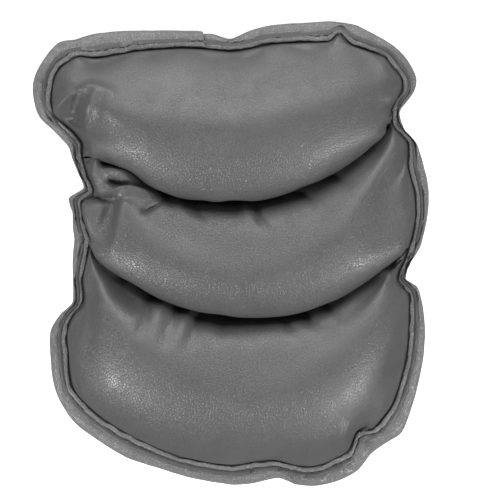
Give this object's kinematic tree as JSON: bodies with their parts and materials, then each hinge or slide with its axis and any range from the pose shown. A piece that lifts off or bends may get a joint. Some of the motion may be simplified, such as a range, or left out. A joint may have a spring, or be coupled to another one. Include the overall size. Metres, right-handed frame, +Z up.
{
  "type": "kneeling pad",
  "caption": "Soft stuffed leatherette pad with puffed lobes split by curved channel seams, a sewn base sheet and a taped edge; cushions a knee or an arm.",
  "frame": {"origin": "on the resting surface, under the middle of the pad's outline", "axes": "+X across the pad, to the right when the pad is seen from above with the narrower lobe away; +Y along the pad's length, from the wide lobe towards the narrower one; +Z up out of the lobes"},
  "size_m": [0.2557, 0.3, 0.042],
  "materials": {
    "cover_leatherette": "fine pebble grain, satin, mid grey",
    "tape_leatherette": "fine pebble grain, satin, folded tape, mid grey",
    "backing_cloth": "matt black woven backing",
    "fibre_filling": "loose white polyester fibre",
    "sewing_thread": "twisted polyester thread, dark grey"
  },
  "bodies": {
    "root": {"upper_cover": "cover_leatherette", "middle_cover": "cover_leatherette", "lower_cover": "cover_leatherette", "upper_filling": "fibre_filling", "middle_filling": "fibre_filling", "lower_filling": "fibre_filling", "base_cover": "backing_cloth", "edge_tape": "tape_leatherette", "edge_needle_thread": "sewing_thread", "edge_bobbin_thread": "sewing_thread", "upper_channel_thread": "sewing_thread", "lower_channel_thread": "sewing_thread"}
  },
  "joints": []
}
